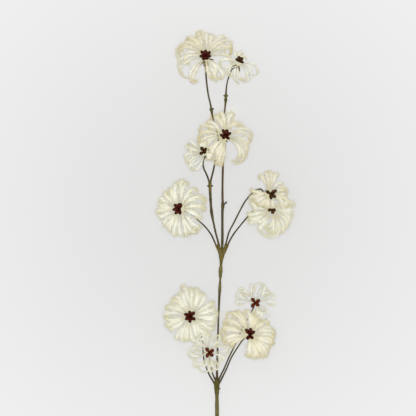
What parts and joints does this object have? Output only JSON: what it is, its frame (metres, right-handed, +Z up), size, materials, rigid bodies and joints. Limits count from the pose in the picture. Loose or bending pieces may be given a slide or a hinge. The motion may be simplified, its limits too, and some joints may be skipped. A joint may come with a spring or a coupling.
{
  "type": "spray of fluffy clematis seed heads",
  "caption": "Long cut stem with forked side stalks that carry fluffy cream heads of curled feathery tails round dark pointed seed stars.",
  "frame": {"origin": "middle of the outline on the surface that the spray lies on", "axes": "+Y along the stem from its cut end to its tip, +Z up, the way the blooms face"},
  "size_m": [0.1665, 0.6021, 0.0674],
  "materials": {
    "stem": "dry matt bark, olive with brown stretches",
    "tail": "soft silky hairs",
    "seed": "glossy dark maroon seed coat"
  },
  "bodies": {
    "root": {"stem": "stem", "tails_01": "tail", "seeds_01": "seed", "tails_02": "tail", "seeds_02": "seed", "tails_03": "tail", "seeds_03": "seed", "tails_04": "tail", "seeds_04": "seed", "tails_05": "tail", "seeds_05": "seed", "tails_06": "tail", "seeds_06": "seed", "tails_07": "tail", "seeds_07": "seed", "tails_08": "tail", "seeds_08": "seed", "tails_09": "tail", "seeds_09": "seed", "tails_10": "tail", "seeds_10": "seed", "tails_11": "tail", "seeds_11": "seed"}
  },
  "joints": []
}
